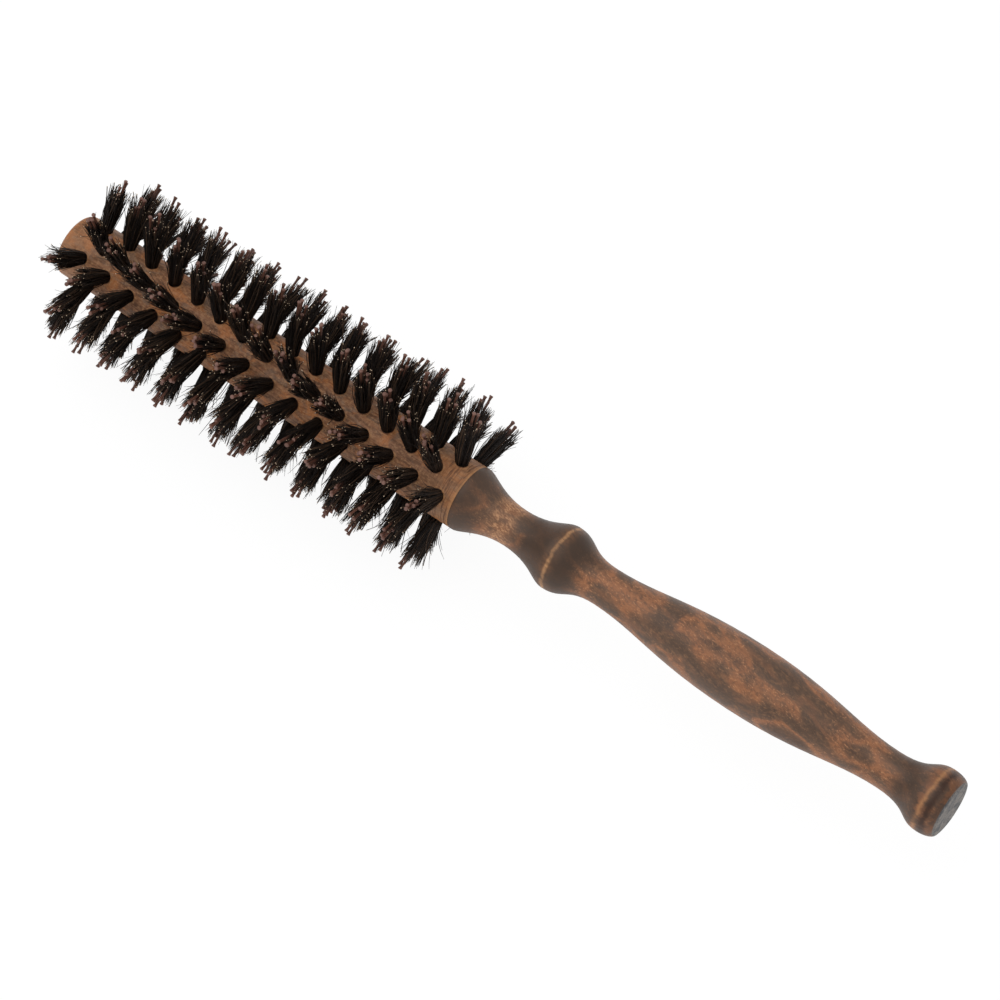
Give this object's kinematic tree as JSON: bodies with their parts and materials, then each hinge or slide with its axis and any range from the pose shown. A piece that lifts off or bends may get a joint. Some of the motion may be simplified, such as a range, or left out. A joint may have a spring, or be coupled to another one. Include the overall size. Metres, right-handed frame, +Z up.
{
  "type": "round barrel hair brush",
  "caption": "Round hair brush with a turned wooden barrel, staggered rows of dark bristle tufts with nylon pins, and a long turned wooden handle with a bead and an end knob.",
  "frame": {"origin": "centre of the flat end face of the handle", "axes": "+X along the brush's axis, out of the handle's end; the barrel points along -X; +Z up"},
  "size_m": [0.2285, 0.0412, 0.0412],
  "materials": {
    "barrel_wood": "satin, light brown, fine turning lines",
    "handle_wood": "satin, stained dark brown with lighter orange patches",
    "boar_bristle": "black natural bristle, slight sheen",
    "nylon_pin": "reddish brown nylon",
    "anchor_wire": "plain flat wire"
  },
  "bodies": {
    "root": {"barrel": "barrel_wood", "handle": "handle_wood", "bristle_row_01": "boar_bristle", "bristle_row_02": "boar_bristle", "bristle_row_03": "boar_bristle", "bristle_row_04": "boar_bristle", "bristle_row_05": "boar_bristle", "bristle_row_06": "boar_bristle", "bristle_row_07": "boar_bristle", "bristle_row_08": "boar_bristle", "bristle_row_09": "boar_bristle", "bristle_row_10": "boar_bristle", "pin_row_01": "nylon_pin", "pin_row_02": "nylon_pin", "pin_row_03": "nylon_pin", "pin_row_04": "nylon_pin", "pin_row_05": "nylon_pin", "pin_row_06": "nylon_pin", "pin_row_07": "nylon_pin", "pin_row_08": "nylon_pin", "pin_row_09": "nylon_pin", "pin_row_10": "nylon_pin", "anchor_row_01": "anchor_wire", "anchor_row_02": "anchor_wire", "anchor_row_03": "anchor_wire", "anchor_row_04": "anchor_wire", "anchor_row_05": "anchor_wire", "anchor_row_06": "anchor_wire", "anchor_row_07": "anchor_wire", "anchor_row_08": "anchor_wire", "anchor_row_09": "anchor_wire", "anchor_row_10": "anchor_wire"}
  },
  "joints": []
}
